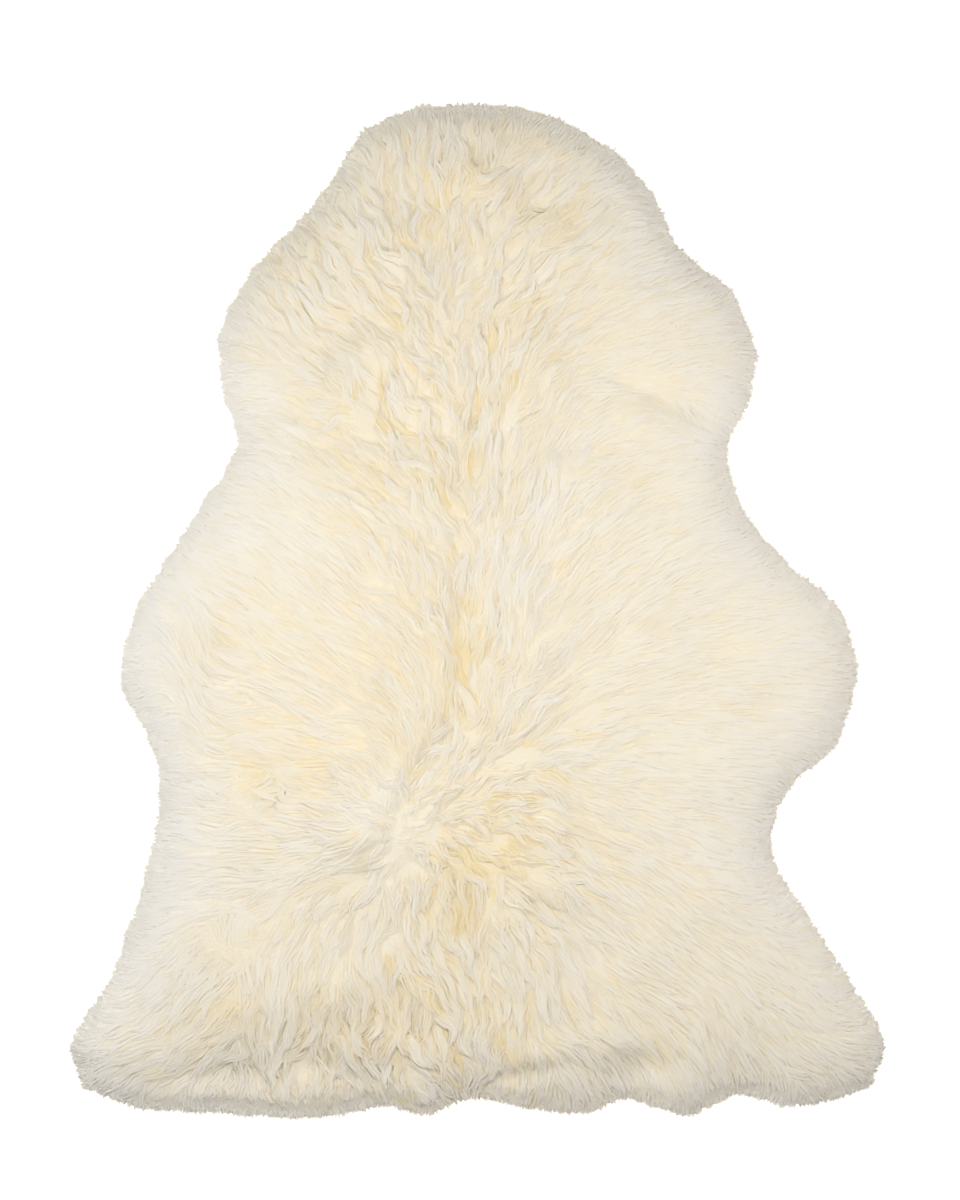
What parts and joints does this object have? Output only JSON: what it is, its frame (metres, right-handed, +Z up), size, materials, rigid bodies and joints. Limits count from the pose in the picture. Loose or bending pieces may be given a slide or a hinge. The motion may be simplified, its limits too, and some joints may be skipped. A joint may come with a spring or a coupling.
{
  "type": "sheepskin rug",
  "caption": "Whole sheepskin rug with long cream wool, narrow at the neck, with shoulder and belly lobes and a broad tail edge; lies flat on its hide as a soft floor or seat throw",
  "frame": {"origin": "middle of the box, on the floor under the hide", "axes": "+Z up out of the wool, +Y towards the neck, +X to the right seen from above with the neck at the top"},
  "size_m": [0.777, 0.9746, 0.0559],
  "materials": {
    "wool": "long combed natural wool, soft sheen at the tips",
    "hide": "matt suede flesh side"
  },
  "bodies": {
    "root": {"sheepskin": "wool"}
  },
  "joints": []
}
